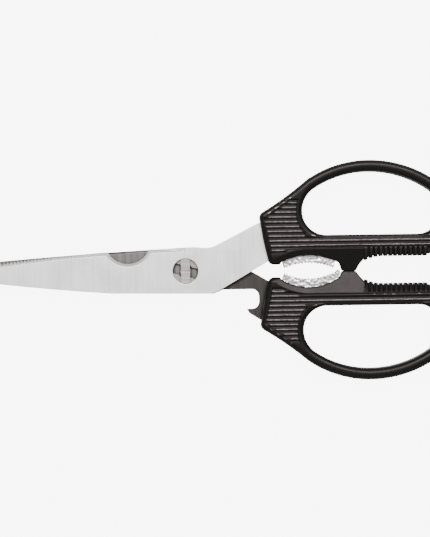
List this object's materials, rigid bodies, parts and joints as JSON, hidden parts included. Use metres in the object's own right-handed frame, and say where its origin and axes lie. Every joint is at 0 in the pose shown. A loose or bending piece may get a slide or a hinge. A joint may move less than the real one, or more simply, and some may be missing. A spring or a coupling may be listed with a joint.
{
  "type": "poultry shears",
  "caption": "Take-apart poultry shears with a serrated blade, bone notch, bottle opener hook, toothed jaw inserts, jar racks and ribbed loop handles on a pivot.",
  "frame": {"origin": "centre of the closed tool's outline, at the height of the handles' undersides, which is the surface it lies on", "axes": "+X from the blade tips towards the finger loops, +Y towards the handle of the toothed blade, +Z out of the toothed blade's outer face"},
  "size_m": [0.2312, 0.1054, 0.013],
  "materials": {
    "blade_steel": "satin ground stainless steel",
    "blade_steel_back": "coarser ground stainless steel",
    "stud_steel": "turned and burnished stainless steel",
    "handle_plastic": "satin black moulded plastic",
    "jaw_metal": "cast and tumbled steel"
  },
  "bodies": {
    "lower_half": {"back_blade": "blade_steel_back", "pivot_stud": "stud_steel", "lower_handle": "handle_plastic", "lower_jaw": "jaw_metal"},
    "upper_half": {"front_blade": "blade_steel", "upper_handle": "handle_plastic", "upper_jaw": "jaw_metal"}
  },
  "joints": [
    {"name": "blade_pivot", "type": "hinge", "parent": "lower_half", "child": "upper_half", "pos_m": [-0.0126, 0.0005, 0.0065], "axis": [0, 0, 1], "range_deg": [0, 105]}
  ]
}
